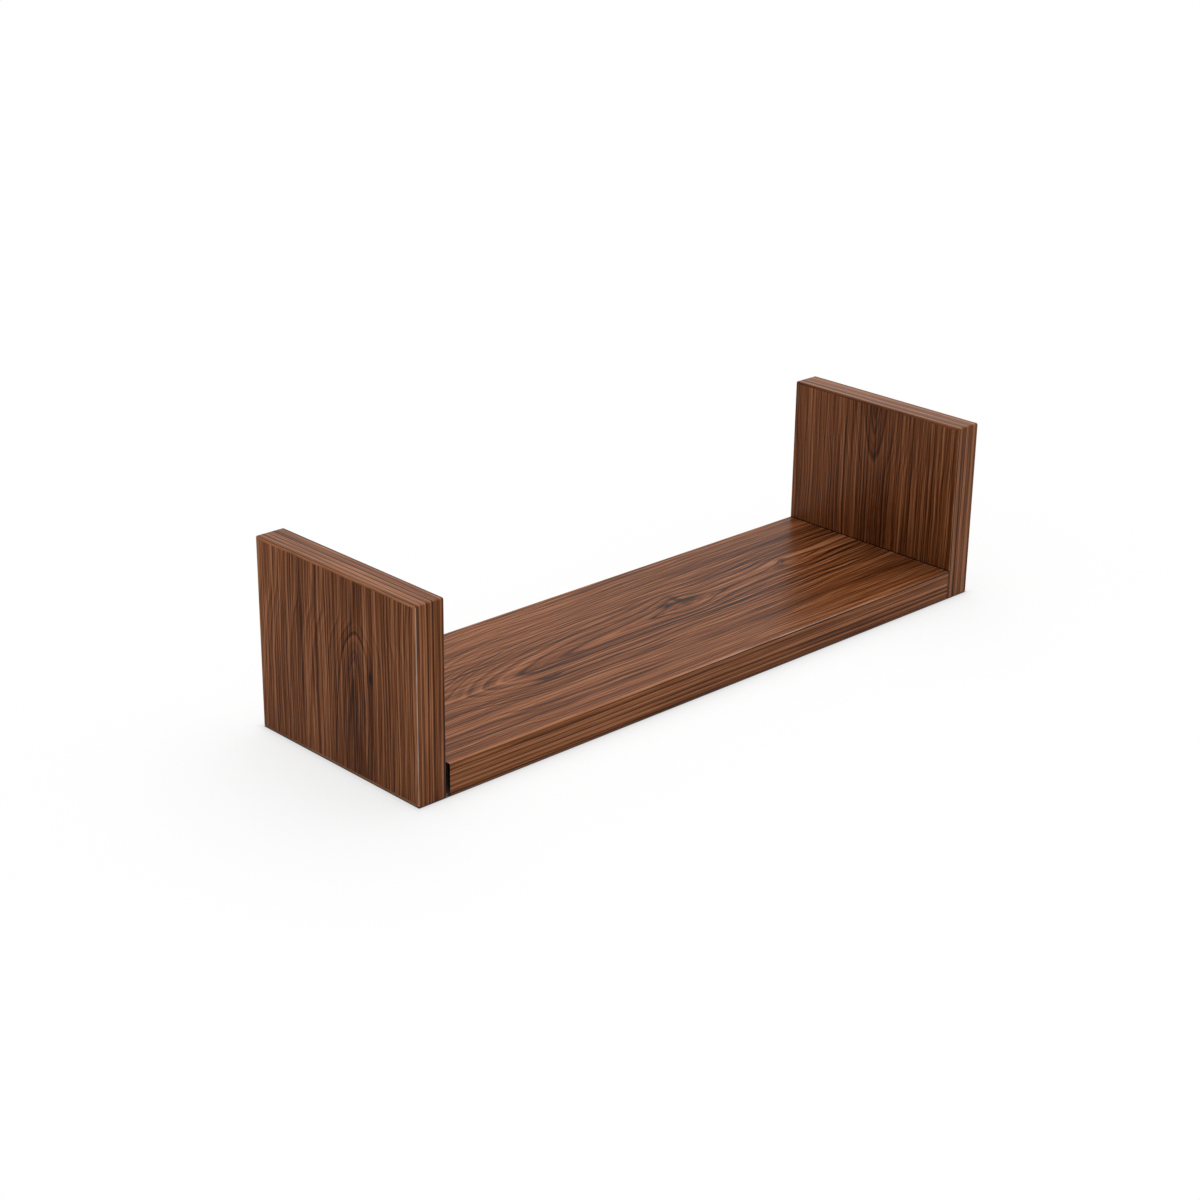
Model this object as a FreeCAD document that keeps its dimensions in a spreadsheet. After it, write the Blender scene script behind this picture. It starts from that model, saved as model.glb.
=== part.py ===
# A floating wall shelf: one veneered shelf board held between two veneered end panels.
# Sizes are in millimetres. X runs along the shelf, Y runs back to the wall and Z is up.
# The origin is under the middle of the shelf, on the plane that its underside rests on.
import FreeCAD, Part
import os
import re
import Sketcher

# Driving sizes: each is set once, and every piece takes its size and place from them
SIZES = {
    # The three boards
    "overall_length": 600.0,
    "depth": 180.0,
    "height": 150.0,
    "panel_thickness": 25.0,
    "shelf_thickness": 25.0,
    "face_veneer": 0.6,
    "edge_band": 2.0,
    "arris_radius": 1.5,
    # The joint gap that the collars of the cam bolts hold open at each end
    "left_gap": 3.0,
    "right_gap": 1.0,
    # Dowels
    "dowel_diameter": 8.0,
    "dowel_length": 30.0,
    "dowel_in_panel": 12.0,
    "dowel_chamfer": 1.0,
    "dowel_pitch": 32.0,
    "dowel_bore_clearance": 0.05,
    "dowel_end_room": 1.0,
    # Cam bolts
    "bolt_setback": 37.0,
    "bolt_reach": 34.0,
    "bolt_thread_diameter": 5.0,
    "bolt_thread_length": 11.0,
    "bolt_thread_clearance": 0.05,
    "bolt_end_room": 1.0,
    "bolt_collar_diameter": 11.0,
    "bolt_shank_diameter": 6.0,
    "bolt_bore_clearance": 0.8,
    "bolt_neck_diameter": 4.0,
    "bolt_neck_room": 0.6,
    "bolt_ball_diameter": 6.4,
    # Cam locks
    "cam_diameter": 15.0,
    "cam_bore_clearance": 0.1,
    "cam_recess": 0.3,
    "cam_crown": 5.0,
    "cam_end_room": 0.5,
    "cam_eccentricity": 0.8,
    "cam_grip_clearance": 0.2,
    "cam_slot_clearance": 0.5,
    "cam_turn_angle": 180.0,
    "cam_cross_length": 9.0,
    "cam_cross_width": 2.0,
    "cam_cross_depth": 3.0,
    # Keyhole hanger plates
    "hanger_drop": 40.0,
    "hanger_length": 45.0,
    "hanger_width": 15.0,
    "hanger_thickness": 2.0,
    "hanger_corner": 3.0,
    "hanger_set_in": 0.1,
    "hanger_recess_clearance": 0.2,
    "keyhole_entry_diameter": 10.0,
    "keyhole_slot_width": 5.0,
    "keyhole_rise": 9.0,
    "keyhole_pocket_room": 1.0,
    "keyhole_pocket_depth": 10.0,
    # Hanger screws
    "screw_end_distance": 5.5,
    "screw_diameter": 3.5,
    "screw_length": 16.0,
    "screw_point": 4.0,
    "screw_head_diameter": 7.0,
    "screw_seat_land": 0.2,
    "screw_seat_clearance": 0.05,
    "screw_hole_clearance": 0.3,
    "screw_end_room": 1.0,
    "screw_cross_reach": 0.25,
    "screw_cross_width": 1.0,
    "screw_cross_floor": 0.4,
    # How far a cutter runs past the faces that it opens
    "cut_overrun": 0.8,
}

LEFT, RIGHT = -1, 1
SIDES = {"left": LEFT, "right": RIGHT}
ROWS = {"front": -1, "back": 1}
UPRIGHT = FreeCAD.Rotation()
TO_WALL = FreeCAD.Rotation(FreeCAD.Vector(1, 0, 0), -90)

# Places and sizes that follow from the driving sizes
SHELF_LENGTH = "(overall_length - 2 * panel_thickness - left_gap - right_gap)"
SHELF_MIDDLE = "((left_gap - right_gap) / 2)"
BOLT_LEVEL = "(shelf_thickness / 2)"
CAM_HEIGHT = f"({BOLT_LEVEL} + cam_crown - cam_recess)"
HANGER_LEVEL = "(height - hanger_drop)"
KEYHOLE_ENTRY = f"({HANGER_LEVEL} - (keyhole_rise + keyhole_slot_width / 2 - keyhole_entry_diameter / 2) / 2)"
KEYHOLE_TOP = f"({KEYHOLE_ENTRY} + keyhole_rise)"
PLATE_BACK = "(depth / 2 - hanger_set_in - hanger_thickness)"
SCREW_HEAD = "(hanger_thickness - screw_seat_land)"

doc = FreeCAD.newDocument("floating_wall_shelf")
sheet = doc.addObject("Spreadsheet::Sheet", "Sizes")
for row, (name, value) in enumerate(SIZES.items(), start=1):
    sheet.set(f"A{row}", name)
    sheet.set(f"B{row}", str(value))
    sheet.setAlias(f"B{row}", name)
doc.recompute()


def bind(item, expressions):
    """Tie properties of an object to sums of the sheet's sizes."""
    for path, text in expressions.items():
        item.setExpression(path, re.sub(r"[a-z][a-z_]+", r"Sizes.\g<0>", text))
    return item


def put(item, place, turn=UPRIGHT):
    """Turn an object and tie its place to the sheet."""
    item.Placement = FreeCAD.Placement(FreeCAD.Vector(), turn)
    return bind(item, {f"Placement.Base.{axis}": text for axis, text in zip("xyz", place)})


def block(name, size, centre):
    """A square-edged block, placed by its centre."""
    item = doc.addObject("Part::Box", name)
    bind(item, dict(zip(("Length", "Width", "Height"), size)))
    return put(item, [f"{middle} - ({side}) / 2" for middle, side in zip(centre, size)])


def rod(name, radius, length, base, turn=UPRIGHT):
    """A round rod that runs from its base along its own Z."""
    item = doc.addObject("Part::Cylinder", name)
    bind(item, {"Radius": radius, "Height": length})
    return put(item, base, turn)


def taper(name, base_radius, end_radius, length, base, turn=UPRIGHT):
    """A cone cut short, from its base along its own Z."""
    item = doc.addObject("Part::Cone", name)
    bind(item, {"Radius1": base_radius, "Radius2": end_radius, "Height": length})
    return put(item, base, turn)


def fuse(name, pieces):
    """Several shapes as one."""
    item = doc.addObject("Part::MultiFuse", name)
    item.Shapes = pieces
    item.Refine = False
    return item


def cut(name, base, tool):
    """A shape with another one taken out of it."""
    item = doc.addObject("Part::Cut", name)
    item.Base = base
    item.Tool = tool
    item.Refine = False
    return item


def common(name, base, tool):
    """What two shapes share."""
    item = doc.addObject("Part::Common", name)
    item.Base = base
    item.Tool = tool
    return item


def pair(name, pieces):
    """Like fasteners kept as separate solids of one piece."""
    item = doc.addObject("Part::Compound", name)
    item.Links = pieces
    return item


def sketch_on_ground(body, name):
    """An empty sketch on the level plane through a body's own origin."""
    ground = next(plane for plane in body.Origin.OriginFeatures if plane.Role == "XY_Plane")
    sketch = body.newObject("Sketcher::SketchObject", name)
    sketch.AttachmentSupport = [(ground, "")]
    sketch.MapMode = "FlatFace"
    return sketch


def measure(sketch, name, text, *constraint):
    """Add a named dimension to a sketch and tie it to the sheet."""
    index = sketch.addConstraint(Sketcher.Constraint(*constraint))
    sketch.renameConstraint(index, name)
    bind(sketch, {f"Constraints.{name}": text})


def pad(body, sketch, name, length):
    """Raise a sketch to a solid."""
    item = body.newObject("PartDesign::Pad", name)
    item.Profile = sketch
    bind(item, {"Length": length})
    doc.recompute()
    return item


def runs_along(edge, axes):
    """Whether a straight edge runs along one of the named axes."""
    run = edge.Vertexes[-1].Point.sub(edge.Vertexes[0].Point)
    return max("XYZ", key=lambda axis: abs(getattr(run, axis.lower()))) in axes


def eased_board(name, size, axes, radius, base):
    """A board with the edges along the named axes rounded, placed by the middle of its foot."""
    length, width, tall = size
    body = doc.addObject("PartDesign::Body", name)
    outline = sketch_on_ground(body, name + "_outline")
    corners = [FreeCAD.Vector(x, y) for x, y in ((-1, -1), (1, -1), (1, 1), (-1, 1))]
    for start, end in zip(corners, corners[1:] + corners[:1]):
        outline.addGeometry(Part.LineSegment(start, end))
    for side, level in enumerate(("Horizontal", "Vertical", "Horizontal", "Vertical")):
        outline.addConstraint(Sketcher.Constraint("Coincident", side, 2, (side + 1) % 4, 1))
        outline.addConstraint(Sketcher.Constraint(level, side))
    outline.addConstraint(Sketcher.Constraint("Symmetric", 0, 1, 1, 2, -1, 1))
    measure(outline, "length", length, "DistanceX", 0, 1, 0, 2, 2)
    measure(outline, "width", width, "DistanceY", 1, 1, 1, 2, 2)
    blank = pad(body, outline, name + "_blank", tall)
    easing = body.newObject("PartDesign::Fillet", name + "_easing")
    edges = enumerate(blank.Shape.Edges, start=1)
    easing.Base = (blank, [f"Edge{number}" for number, edge in edges if runs_along(edge, axes)])
    bind(easing, {"Radius": radius})
    return put(body, base)


def panel_middle(hand):
    """The X of an end panel's middle plane."""
    return f"({hand} * (overall_length - panel_thickness) / 2)"


def inner_face(hand):
    """The X of an end panel's inner face."""
    return f"({hand} * (overall_length / 2 - panel_thickness))"


def board_layers(board, envelope, layers, bored, tools):
    """A board's layers: each is the part of its eased shape in a block, some with bores cut."""
    pieces = []
    for layer, row in layers.items():
        name = f"{board}_{layer}"
        region = block(name + "_region", row[:3], row[3:])
        if layer in bored:
            pieces.append(cut(name, common(name + "_whole", envelope, region), tools))
        else:
            pieces.append(common(name, envelope, region))
    return pieces


def end_panel(side, hand, bores):
    """An end panel: a core between two face veneers, closed by a solid band on each edge."""
    middle = panel_middle(hand)
    envelope = eased_board(
        f"{side}_panel",
        ("panel_thickness", "depth", "height"),
        "XYZ",
        "arris_radius",
        (middle, "0", "0"),
    )
    tools = fuse(f"{side}_panel_bores", bores)
    between_bands = ("(depth - 2 * edge_band)", "(height - 2 * edge_band)")
    veneer_out = f"{hand} * (panel_thickness - face_veneer) / 2"
    band_out = "(depth - edge_band) / 2"
    layers = {
        "panel_core": ("panel_thickness - 2 * face_veneer", *between_bands, middle, "0", "height / 2"),
        "outer_veneer": ("face_veneer", *between_bands, f"{middle} + {veneer_out}", "0", "height / 2"),
        "inner_veneer": ("face_veneer", *between_bands, f"{middle} - {veneer_out}", "0", "height / 2"),
        "front_band": ("panel_thickness", "edge_band", "height", middle, f"-{band_out}", "height / 2"),
        "back_band": ("panel_thickness", "edge_band", "height", middle, band_out, "height / 2"),
        "top_band": ("panel_thickness", between_bands[0], "edge_band", middle, "0", "height - edge_band / 2"),
        "bottom_band": ("panel_thickness", between_bands[0], "edge_band", middle, "0", "edge_band / 2"),
    }
    bored = ("panel_core", "inner_veneer", "back_band")
    return board_layers(side, envelope, layers, bored, tools)


def shelf_board(bores):
    """The shelf: a core between two face veneers, with a solid band on its front and back edges."""
    envelope = eased_board(
        "shelf",
        (SHELF_LENGTH, "depth", "shelf_thickness"),
        "X",
        "arris_radius",
        (SHELF_MIDDLE, "0", "0"),
    )
    tools = fuse("shelf_bores", bores)
    between_bands = "depth - 2 * edge_band"
    between_faces = "shelf_thickness - 2 * face_veneer"
    band_out = "(depth - edge_band) / 2"
    level = "shelf_thickness / 2"
    top = "shelf_thickness - face_veneer / 2"
    layers = {
        "core": (SHELF_LENGTH, between_bands, between_faces, SHELF_MIDDLE, "0", level),
        "top_veneer": (SHELF_LENGTH, between_bands, "face_veneer", SHELF_MIDDLE, "0", top),
        "bottom_veneer": (SHELF_LENGTH, between_bands, "face_veneer", SHELF_MIDDLE, "0", "face_veneer / 2"),
        "front_band": (SHELF_LENGTH, "edge_band", "shelf_thickness", SHELF_MIDDLE, f"-{band_out}", level),
        "back_band": (SHELF_LENGTH, "edge_band", "shelf_thickness", SHELF_MIDDLE, band_out, level),
    }
    bored = ("core", "bottom_veneer")
    return board_layers("shelf", envelope, layers, bored, tools)


def dowel(name, hand, place, turn):
    """A beech dowel with both ends chamfered, half in the panel and half in the shelf."""
    body = doc.addObject("PartDesign::Body", name)
    outline = sketch_on_ground(body, name + "_outline")
    outline.addGeometry(Part.Circle())
    outline.addConstraint(Sketcher.Constraint("Coincident", 0, 3, -1, 1))
    measure(outline, "diameter", "dowel_diameter", "Diameter", 0, 2)
    blank = pad(body, outline, name + "_blank", "dowel_length")
    ends = body.newObject("PartDesign::Chamfer", name + "_ends")
    rims = [number for number, edge in enumerate(blank.Shape.Edges, start=1) if edge.isClosed()]
    ends.Base = (blank, [f"Edge{number}" for number in rims])
    bind(ends, {"Size": "dowel_chamfer"})
    face, depth_at, level = place
    return put(body, (f"{face} + {hand} * dowel_in_panel", depth_at, level), turn)


def dowel_bore(name, hand, place, turn):
    """The hole for a dowel, through the panel's inner face and into the end of the shelf."""
    face, depth_at, level = place
    base = (f"{face} + {hand} * (dowel_in_panel + dowel_end_room)", depth_at, level)
    radius = "dowel_diameter / 2 + dowel_bore_clearance"
    return rod(name, radius, "dowel_length + 2 * dowel_end_room", base, turn)


def cam_bolt(name, gap, place, turn):
    """A cam bolt: thread in the panel, collar in the joint gap, shank, neck and ball in the shelf."""
    shank = "bolt_reach - cam_diameter / 2 - bolt_neck_room"
    tip = ("0", "0", "-bolt_thread_length")
    pieces = [
        rod(name + "_thread", "bolt_thread_diameter / 2", "bolt_thread_length", tip),
        rod(name + "_collar", "bolt_collar_diameter / 2", gap, ("0", "0", "0")),
        rod(name + "_shank", "bolt_shank_diameter / 2", shank, ("0", "0", "0")),
        rod(name + "_neck", "bolt_neck_diameter / 2", "bolt_reach", ("0", "0", "0")),
    ]
    ball = doc.addObject("Part::Sphere", name + "_ball")
    bind(ball, {"Radius": "bolt_ball_diameter / 2"})
    pieces.append(put(ball, ("0", "0", "bolt_reach")))
    return put(fuse(name, pieces), place, turn)


def thread_bore(name, hand, place, turn):
    """The pilot hole for a cam bolt's thread in the panel."""
    face, depth_at, level = place
    base = (f"{face} + {hand} * (bolt_thread_length + bolt_end_room)", depth_at, level)
    length = "bolt_thread_length + bolt_end_room + cut_overrun"
    return rod(name, "bolt_thread_diameter / 2 + bolt_thread_clearance", length, base, turn)


def cam_lock(name, hand, place):
    """A cam lock: a disc with an off-centre hollow for the bolt's ball and a slot that grips its neck."""
    radius = "cam_diameter / 2"
    out = f"{radius} + cut_overrun"
    slot = "bolt_neck_diameter + 2 * cam_slot_clearance"
    mouth = "bolt_ball_diameter + 2 * cam_slot_clearance"
    hollow = "bolt_ball_diameter / 2 + cam_eccentricity + cam_grip_clearance"
    disc = rod(name + "_disc", radius, CAM_HEIGHT, ("0", "0", "cam_recess"))
    sweep = rod(name + "_sweep", out, slot, ("0", "0", f"{BOLT_LEVEL} - ({slot}) / 2"))
    bind(sweep, {"Angle": "cam_turn_angle"})
    into_disc = FreeCAD.Rotation(FreeCAD.Vector(0, 1, 0), -90)
    cross_tall = "cam_cross_depth + cut_overrun"
    cross_at = ("0", "0", "cam_recess + (cam_cross_depth - cut_overrun) / 2")
    cutters = [
        rod(name + "_hollow", hollow, mouth, ("-cam_eccentricity", "0", f"{BOLT_LEVEL} - ({mouth}) / 2")),
        rod(name + "_mouth", f"({mouth}) / 2", out, ("0", "0", BOLT_LEVEL), into_disc),
        sweep,
        block(name + "_grip", (out, slot, slot), (f"({out}) / 2", "0", BOLT_LEVEL)),
        block(name + "_cross", ("cam_cross_length", "cam_cross_width", cross_tall), cross_at),
        block(name + "_cross_bar", ("cam_cross_width", "cam_cross_length", cross_tall), cross_at),
    ]
    facing = FreeCAD.Rotation(FreeCAD.Vector(0, 0, 1), 0 if hand == RIGHT else 180)
    return put(cut(name, disc, fuse(name + "_cutters", cutters)), place, facing)


def cam_bore(name, place):
    """The blind hole in the shelf's underside that a cam lock turns in."""
    across, depth_at, _ = place
    radius = "cam_diameter / 2 + cam_bore_clearance"
    length = f"{BOLT_LEVEL} + cam_crown + cam_end_room + cut_overrun"
    return rod(name, radius, length, (across, depth_at, "-cut_overrun"))


def hanger_plate(name, across):
    """A keyhole hanger plate, let flush into the back edge of an end panel."""
    foot = (across, "depth / 2 - hanger_set_in - hanger_thickness / 2", f"{HANGER_LEVEL} - hanger_length / 2")
    size = ("hanger_width", "hanger_thickness", "hanger_length")
    blank = eased_board(name + "_blank", size, "Y", "hanger_corner", foot)
    through = "hanger_thickness + 2 * cut_overrun"
    start = f"{PLATE_BACK} - cut_overrun"
    slot_size = ("keyhole_slot_width", through, "keyhole_rise")
    slot_at = (across, f"{PLATE_BACK} + hanger_thickness / 2", f"({KEYHOLE_ENTRY} + {KEYHOLE_TOP}) / 2")
    entry = "keyhole_entry_diameter / 2"
    cutters = [
        rod(name + "_entry", entry, through, (across, start, KEYHOLE_ENTRY), TO_WALL),
        rod(name + "_slot_end", "keyhole_slot_width / 2", through, (across, start, KEYHOLE_TOP), TO_WALL),
        block(name + "_slot", slot_size, slot_at),
    ]
    shank = "screw_diameter / 2 + screw_hole_clearance"
    head = "screw_head_diameter / 2 + screw_seat_clearance"
    narrow = "screw_diameter / 2 + screw_seat_clearance"
    for end, level in screw_levels().items():
        seat = (across, f"{PLATE_BACK} + screw_seat_land", level)
        cutters.append(rod(f"{name}_{end}_hole", shank, through, (across, start, level), TO_WALL))
        cutters.append(taper(f"{name}_{end}_sink", narrow, head, SCREW_HEAD, seat, TO_WALL))
    return cut(name, blank, fuse(name + "_cutters", cutters))


def screw_levels():
    """The height of each of a hanger plate's two screws."""
    rise = "(hanger_length / 2 - screw_end_distance)"
    return {"lower": f"{HANGER_LEVEL} - {rise}", "upper": f"{HANGER_LEVEL} + {rise}"}


def hanger_screw(name, across, level):
    """A countersunk screw with a cross recess, its head flush with the hanger plate."""
    plain = f"screw_length - {SCREW_HEAD} - screw_point"
    shank = "screw_diameter / 2"
    solid = fuse(
        name + "_solid",
        [
            taper(name + "_head", shank, "screw_head_diameter / 2", SCREW_HEAD, ("0", "0", f"-{SCREW_HEAD}")),
            rod(name + "_shank", shank, plain, ("0", "0", "screw_point - screw_length")),
            taper(name + "_point", "0", shank, "screw_point", ("0", "0", "-screw_length")),
        ],
    )
    recess = f"({SCREW_HEAD} - screw_cross_floor)"
    deep = f"{recess} + cut_overrun"
    centre = ("0", "0", f"(cut_overrun - {recess}) / 2")
    arm = "screw_diameter + 2 * screw_cross_reach"
    cross = fuse(
        name + "_cross",
        [
            block(name + "_cross_slot", (arm, "screw_cross_width", deep), centre),
            block(name + "_cross_bar", ("screw_cross_width", arm, deep), centre),
        ],
    )
    return put(cut(name, solid, cross), (across, f"{PLATE_BACK} + hanger_thickness", level), TO_WALL)


def hanger_bores(name, across):
    """The cuts in a panel's back edge: the plate's recess, the screw-head pocket and two pilot holes."""
    clear = "2 * hanger_recess_clearance"
    sunk = "hanger_set_in + hanger_thickness + cut_overrun"
    size = (f"hanger_width + {clear}", sunk, f"hanger_length + {clear}")
    foot = (across, f"{PLATE_BACK} + ({sunk}) / 2", f"{HANGER_LEVEL} - ({size[2]}) / 2")
    corner = "hanger_corner + hanger_recess_clearance"
    room = "(keyhole_entry_diameter / 2 + keyhole_pocket_room)"
    deep = "keyhole_pocket_depth + cut_overrun"
    floor = f"{PLATE_BACK} - keyhole_pocket_depth"
    tall = (f"2 * {room}", deep, "keyhole_rise")
    middle = (across, f"{floor} + ({deep}) / 2", f"({KEYHOLE_ENTRY} + {KEYHOLE_TOP}) / 2")
    tools = [
        eased_board(name + "_recess", size, "Y", corner, foot),
        rod(name + "_pocket_foot", room, deep, (across, floor, KEYHOLE_ENTRY), TO_WALL),
        rod(name + "_pocket_head", room, deep, (across, floor, KEYHOLE_TOP), TO_WALL),
        block(name + "_pocket", tall, middle),
    ]
    pilot = "screw_length + screw_end_room"
    start = f"{PLATE_BACK} + hanger_thickness - ({pilot})"
    radius = "screw_diameter / 2 + screw_seat_clearance"
    for end, level in screw_levels().items():
        tools.append(rod(f"{name}_{end}_pilot", radius, pilot, (across, start, level), TO_WALL))
    return tools


nodes = []
shelf_cuts = []
for side, hand in SIDES.items():
    into_shelf = FreeCAD.Rotation(FreeCAD.Vector(0, 1, 0), -90 * hand)
    face = inner_face(hand)
    cam_across = f"{face} - {hand} * bolt_reach"
    panel_cuts = hanger_bores(f"{side}_hanger", panel_middle(hand))
    dowels, bolts = [], []
    for row, at in ROWS.items():
        tag = f"{side}_{row}"
        dowel_place = (face, f"{at} * (depth / 2 - bolt_setback - dowel_pitch)", BOLT_LEVEL)
        bolt_place = (face, f"{at} * (depth / 2 - bolt_setback)", BOLT_LEVEL)
        cam_place = (cam_across, bolt_place[1], "0")
        dowels.append(dowel(f"{tag}_dowel", hand, dowel_place, into_shelf))
        bolts.append(cam_bolt(f"{tag}_bolt", f"{side}_gap", bolt_place, into_shelf))
        nodes.append(cam_lock(f"{tag}_cam", hand, cam_place))
        hole = dowel_bore(f"{tag}_dowel_bore", hand, dowel_place, into_shelf)
        panel_cuts += [hole, thread_bore(f"{tag}_thread_bore", hand, bolt_place, into_shelf)]
        ball_way = "bolt_ball_diameter / 2 + bolt_bore_clearance"
        shank_bore = rod(f"{tag}_shank_bore", ball_way, "bolt_reach", bolt_place, into_shelf)
        shelf_cuts += [hole, shank_bore, cam_bore(f"{tag}_cam_bore", cam_place)]
    nodes += end_panel(side, hand, panel_cuts)
    nodes += [pair(f"{side}_dowels", dowels), pair(f"{side}_cam_bolts", bolts)]
    nodes.append(hanger_plate(f"{side}_hanger_plate", panel_middle(hand)))
    screws = [
        hanger_screw(f"{side}_{end}_screw", panel_middle(hand), level)
        for end, level in screw_levels().items()
    ]
    nodes.append(pair(f"{side}_hanger_screws", screws))
nodes += shelf_board(shelf_cuts)
doc.recompute()

for item in doc.Objects:
    if {"Invalid", "Error"} & set(item.State):
        raise RuntimeError(f"{item.Label} failed: {item.State}")
for node in nodes:
    if node.Shape.isNull() or not node.Shape.isValid():
        raise RuntimeError(f"{node.Label} has no valid shape")

os.makedirs("parts", exist_ok=True)
for node in nodes:
    node.Shape.exportStep(f"parts/{node.Label}.step")
    print(node.Label, len(node.Shape.Solids), round(node.Shape.Volume, 1))
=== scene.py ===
import math

import bmesh
import bpy
from mathutils import Matrix, Vector


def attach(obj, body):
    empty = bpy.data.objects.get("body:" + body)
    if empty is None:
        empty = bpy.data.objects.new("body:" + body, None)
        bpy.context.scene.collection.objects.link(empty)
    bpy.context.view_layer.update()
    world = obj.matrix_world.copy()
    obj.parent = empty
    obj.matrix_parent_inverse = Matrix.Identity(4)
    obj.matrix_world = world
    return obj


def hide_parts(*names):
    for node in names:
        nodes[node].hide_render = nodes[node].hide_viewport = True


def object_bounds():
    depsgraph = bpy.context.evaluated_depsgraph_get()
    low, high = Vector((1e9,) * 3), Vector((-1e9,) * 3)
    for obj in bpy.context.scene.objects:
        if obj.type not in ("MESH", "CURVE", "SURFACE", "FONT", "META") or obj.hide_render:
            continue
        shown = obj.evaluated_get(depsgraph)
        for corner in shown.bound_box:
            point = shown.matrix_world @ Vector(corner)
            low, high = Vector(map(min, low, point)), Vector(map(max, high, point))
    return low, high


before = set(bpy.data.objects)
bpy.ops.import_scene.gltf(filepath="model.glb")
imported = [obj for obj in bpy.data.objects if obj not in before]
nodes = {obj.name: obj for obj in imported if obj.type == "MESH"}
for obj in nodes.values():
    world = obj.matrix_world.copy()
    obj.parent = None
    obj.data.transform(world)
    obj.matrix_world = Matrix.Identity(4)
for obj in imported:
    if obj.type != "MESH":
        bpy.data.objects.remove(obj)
cad_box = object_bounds()

# Board cores
# Each board starts as a slab of fibreboard, sawn to size and bored for its fittings.
# It is raw and slightly fuzzy. The shelf's sawn ends are painted black as painted shade, so the joints read
# as shadows.
# Patterns are measured in millimetres; meshes, places and the depth of a relief are in metres.
CORE_PALE = (0.46, 0.32, 0.19, 1.0)
CORE_DARK = (0.30, 0.19, 0.11, 1.0)
CORE_ROUGHNESS = 0.85
FLECK_SIZE = (2.2, 0.7)
FLECK_DETAIL = 4.0
FUZZ_STRENGTH = 0.3
FUZZ_DEPTH = 0.0002
# The black of the painted shade in the joint gaps.
GAP_SHADE_BLACK = (0.004, 0.003, 0.0025, 1.0)
# A facing: how squarely a surface looks a way where a finish starts on it, and where it is full.
END_FACING = (0.8, 0.95)
ALONG_X, ALONG_Y, ALONG_Z = (1, 0, 0), (0, 1, 0), (0, 0, 1)
TO_LEFT, TO_RIGHT = (-1, 0, 0), (1, 0, 0)
MM_PER_METRE = 1000.0


def add(tree, kind, feeds=None, **settings):
    """A shader node with its settings, and its inputs fed by values or by other nodes."""
    item = tree.nodes.new("ShaderNode" + kind)
    for name, value in settings.items():
        setattr(item, name, value)
    for name, feed in (feeds or {}).items():
        if isinstance(feed, bpy.types.NodeSocket):
            tree.links.new(feed, item.inputs[name])
        else:
            item.inputs[name].default_value = feed
    return item


def maths(tree, operation, *terms):
    """One step of arithmetic on numbers or sockets."""
    return add(tree, "Math", dict(enumerate(terms)), operation=operation).outputs[0]


def graded(tree, value, start, full, least=0.0, most=1.0):
    """A share that goes from least to most while a value goes from start to full."""
    return add(tree, "MapRange", {0: value, 1: start, 2: full, 3: least, 4: most}).outputs[0]


def new_finish(name, **sockets):
    """A material of one shader, with what is the same all over the surface set on its sockets."""
    material = bpy.data.materials.new(name)
    material.use_nodes = True
    shader = material.node_tree.nodes["Principled BSDF"]
    for socket, value in sockets.items():
        shader.inputs[socket.replace("_", " ")].default_value = value
    return material, material.node_tree, shader


def place_in_mm(tree):
    """Where a point lies on the part, in millimetres."""
    spot = add(tree, "TexCoord").outputs["Object"]
    return add(tree, "VectorMath", {0: spot, "Scale": MM_PER_METRE}, operation="SCALE").outputs[0]


def measured(tree, place, way):
    """How far a point lies along a way across the part."""
    return add(tree, "VectorMath", {0: place, 1: way}, operation="DOT_PRODUCT").outputs["Value"]


def facing(tree, way, start, full):
    """One where the surface faces a way, falling to nothing where it turns from it."""
    return graded(tree, measured(tree, add(tree, "TexCoord").outputs["Normal"], way), start, full)


def streaks(tree, along, across, size, seed, detail=2.0, roughness=0.5):
    """Noise drawn out along the grain: size is the length and width of one streak."""
    length, width = size
    ends = maths(tree, "DIVIDE", along, length)
    sides = maths(tree, "DIVIDE", across, width)
    spot = add(tree, "CombineXYZ", {0: ends, 1: sides, 2: seed}).outputs[0]
    feeds = {"Vector": spot, "Scale": 1.0, "Detail": detail, "Roughness": roughness}
    return add(tree, "TexNoise", feeds).outputs["Fac"]


def blended(tree, share, first, second):
    """One colour laid over another by a share."""
    return add(tree, "Mix", {"Factor": share, 6: first, 7: second}, data_type="RGBA").outputs[2]


def roughen(tree, shader, height, strength, depth):
    """Raise the surface a little where a pattern is high."""
    relief = add(tree, "Bump", {"Height": height, "Strength": strength, "Distance": depth})
    tree.links.new(relief.outputs[0], shader.inputs["Normal"])


def painted_end_shade(tree, colour):
    """Painted shade: black over a board's sawn ends, so the gaps at its joints look dark."""
    left, right = (facing(tree, way, *END_FACING) for way in (TO_LEFT, TO_RIGHT))
    return blended(tree, maths(tree, "ADD", left, right), colour, GAP_SHADE_BLACK)


def dress(material, *names):
    """Give CAD pieces their finish."""
    for name in names:
        nodes[name].material_slots[0].material = material


def fibreboard(name, ends=False):
    """Pressed wood fibre: short pale and dark flecks that lie every way."""
    material, tree, shader = new_finish(name, Roughness=CORE_ROUGHNESS)
    place = place_in_mm(tree)
    across, along, up = (measured(tree, place, way) for way in (ALONG_X, ALONG_Y, ALONG_Z))
    flecks = streaks(tree, maths(tree, "ADD", along, up), across, FLECK_SIZE, up, detail=FLECK_DETAIL)
    colour = blended(tree, flecks, CORE_DARK, CORE_PALE)
    # Painted shade: the shelf's sawn ends are coloured black, so the gaps at the joints look dark.
    if ends:
        colour = painted_end_shade(tree, colour)
    tree.links.new(colour, shader.inputs["Base Color"])
    roughen(tree, shader, flecks, FUZZ_STRENGTH, FUZZ_DEPTH)
    return material


dress(fibreboard("panel_fibreboard"), "left_panel_core", "right_panel_core")
dress(fibreboard("shelf_fibreboard", ends=True), "shelf_core")

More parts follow.
